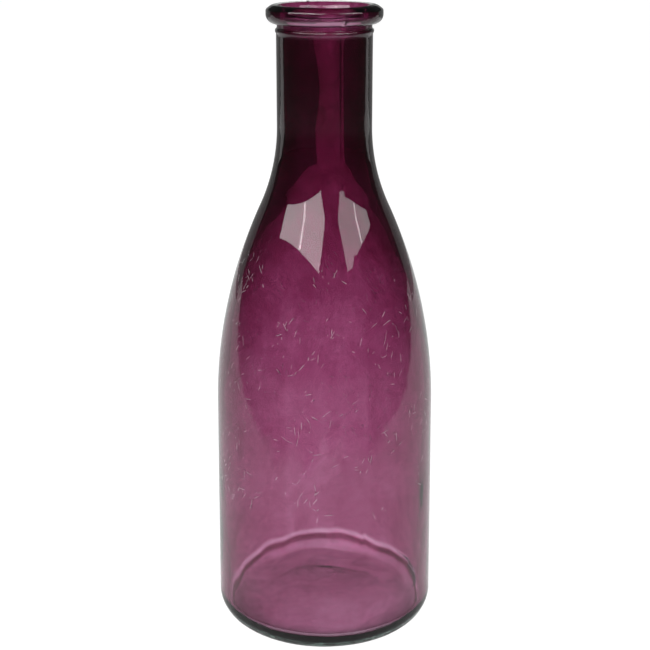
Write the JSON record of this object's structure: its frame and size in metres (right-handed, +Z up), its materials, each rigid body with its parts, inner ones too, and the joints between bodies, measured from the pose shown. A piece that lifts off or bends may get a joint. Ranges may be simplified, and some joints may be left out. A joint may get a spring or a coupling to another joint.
{
  "type": "glass bottle",
  "caption": "Tall round glass bottle with a long sloping shoulder, narrow neck, thick rolled lip and tinted lacquer inside.",
  "frame": {"origin": "centre of the standing ring, on the plane the bottle stands on", "axes": "+Z up along the bottle's axis of revolution; X and Y are level"},
  "size_m": [0.092, 0.092, 0.26],
  "materials": {
    "clear_glass": "clear glass with a faint grey-green cast, glossy and a little wavy",
    "purple_lacquer": "translucent purple lacquer on the inside of the glass"
  },
  "bodies": {
    "root": {"lip_ring": "clear_glass", "neck_ring": "clear_glass", "neck": "clear_glass", "shoulder": "clear_glass", "body_wall": "clear_glass", "base": "clear_glass", "tint_film": "purple_lacquer"}
  },
  "joints": []
}
